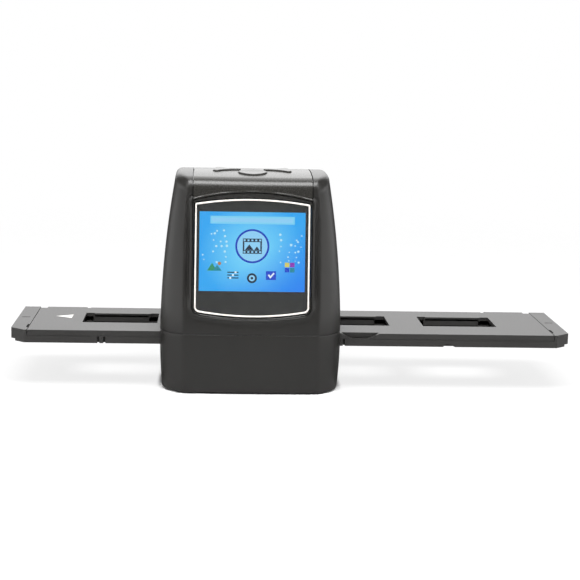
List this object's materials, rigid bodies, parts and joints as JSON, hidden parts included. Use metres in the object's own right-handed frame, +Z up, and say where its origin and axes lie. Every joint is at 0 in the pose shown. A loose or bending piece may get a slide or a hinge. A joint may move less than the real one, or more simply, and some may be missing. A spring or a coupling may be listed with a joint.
{
  "type": "film and slide scanner",
  "caption": "Upright desktop scanner for 35 mm film with a leaning front display, top buttons, and a long hinged slide holder that slides sideways through a tunnel in its base.",
  "frame": {"origin": "on the floor, in the middle of the box around the part: under the middle of the slide holder, and 20 mm to the right of the housing's own middle", "axes": "+X to the right along the slide holder, +Y from the display side to the socket side, +Z up"},
  "size_m": [0.265, 0.087, 0.1022],
  "materials": {
    "housing_plastic": "fine sparked ABS",
    "cover_plastic": "satin painted ABS",
    "holder_plastic": "fine sparked ABS",
    "inner_black": "flat black",
    "bezel_black": "semi-gloss",
    "silver_trim": "bright pale print",
    "clear_window": "clear acrylic",
    "clear_glass": "coated lens",
    "lcd_glass": "lit colour display",
    "steel": "plated sheet steel",
    "socket_black": "moulded black",
    "opal_plastic": "opal white",
    "circuit_board": "solder mask",
    "cable_film": "polyimide film",
    "foot_rubber": "matt rubber"
  },
  "bodies": {
    "housing": {"base_shell": "housing_plastic", "upper_shell": "housing_plastic", "top_cover": "cover_plastic", "guide_tray": "inner_black", "detent_spring": "steel", "film_gate": "inner_black", "light_box": "opal_plastic", "diffuser": "opal_plastic", "led_board": "circuit_board", "optics_chimney": "inner_black", "lens_barrel": "inner_black", "lens_glass": "clear_glass", "sensor_board": "circuit_board", "main_board": "circuit_board", "display_cable": "cable_film", "usb_socket": "steel", "video_jack": "socket_black", "card_socket": "steel", "button_board": "circuit_board", "display_bezel": "bezel_black", "display_ring": "silver_trim", "display_window": "clear_window", "lcd_panel": "lcd_glass", "lcd_backlight": "steel", "ok_switch": "socket_black", "left_switch": "socket_black", "right_switch": "socket_black", "rubber_foot_1": "foot_rubber", "rubber_foot_2": "foot_rubber", "rubber_foot_3": "foot_rubber", "rubber_foot_4": "foot_rubber", "base_screw_1": "steel", "base_screw_2": "steel", "base_screw_3": "steel", "base_screw_4": "steel"},
    "slide_holder": {"holder_frame": "holder_plastic", "holder_cover": "holder_plastic", "holder_hinge_pin_left": "steel", "holder_hinge_pin_right": "steel"},
    "ok_key": {"ok_button": "cover_plastic", "ok_switch_stem": "opal_plastic"},
    "left_key": {"left_button": "cover_plastic", "left_switch_stem": "opal_plastic"},
    "right_key": {"right_button": "cover_plastic", "right_switch_stem": "opal_plastic"}
  },
  "joints": [
    {"name": "holder_slide", "type": "slide", "parent": "housing", "child": "slide_holder", "axis": [1, 0, 0], "range_m": [-0.166, 0.126]},
    {"name": "ok_press", "type": "slide", "parent": "housing", "child": "ok_key", "axis": [0, 0, -1], "range_m": [0, 0.0007], "stiffness_N_per_m": 300, "springref_m": -0.002},
    {"name": "left_press", "type": "slide", "parent": "housing", "child": "left_key", "axis": [0, 0, -1], "range_m": [0, 0.0007], "stiffness_N_per_m": 300, "springref_m": -0.002},
    {"name": "right_press", "type": "slide", "parent": "housing", "child": "right_key", "axis": [0, 0, -1], "range_m": [0, 0.0007], "stiffness_N_per_m": 300, "springref_m": -0.002}
  ]
}
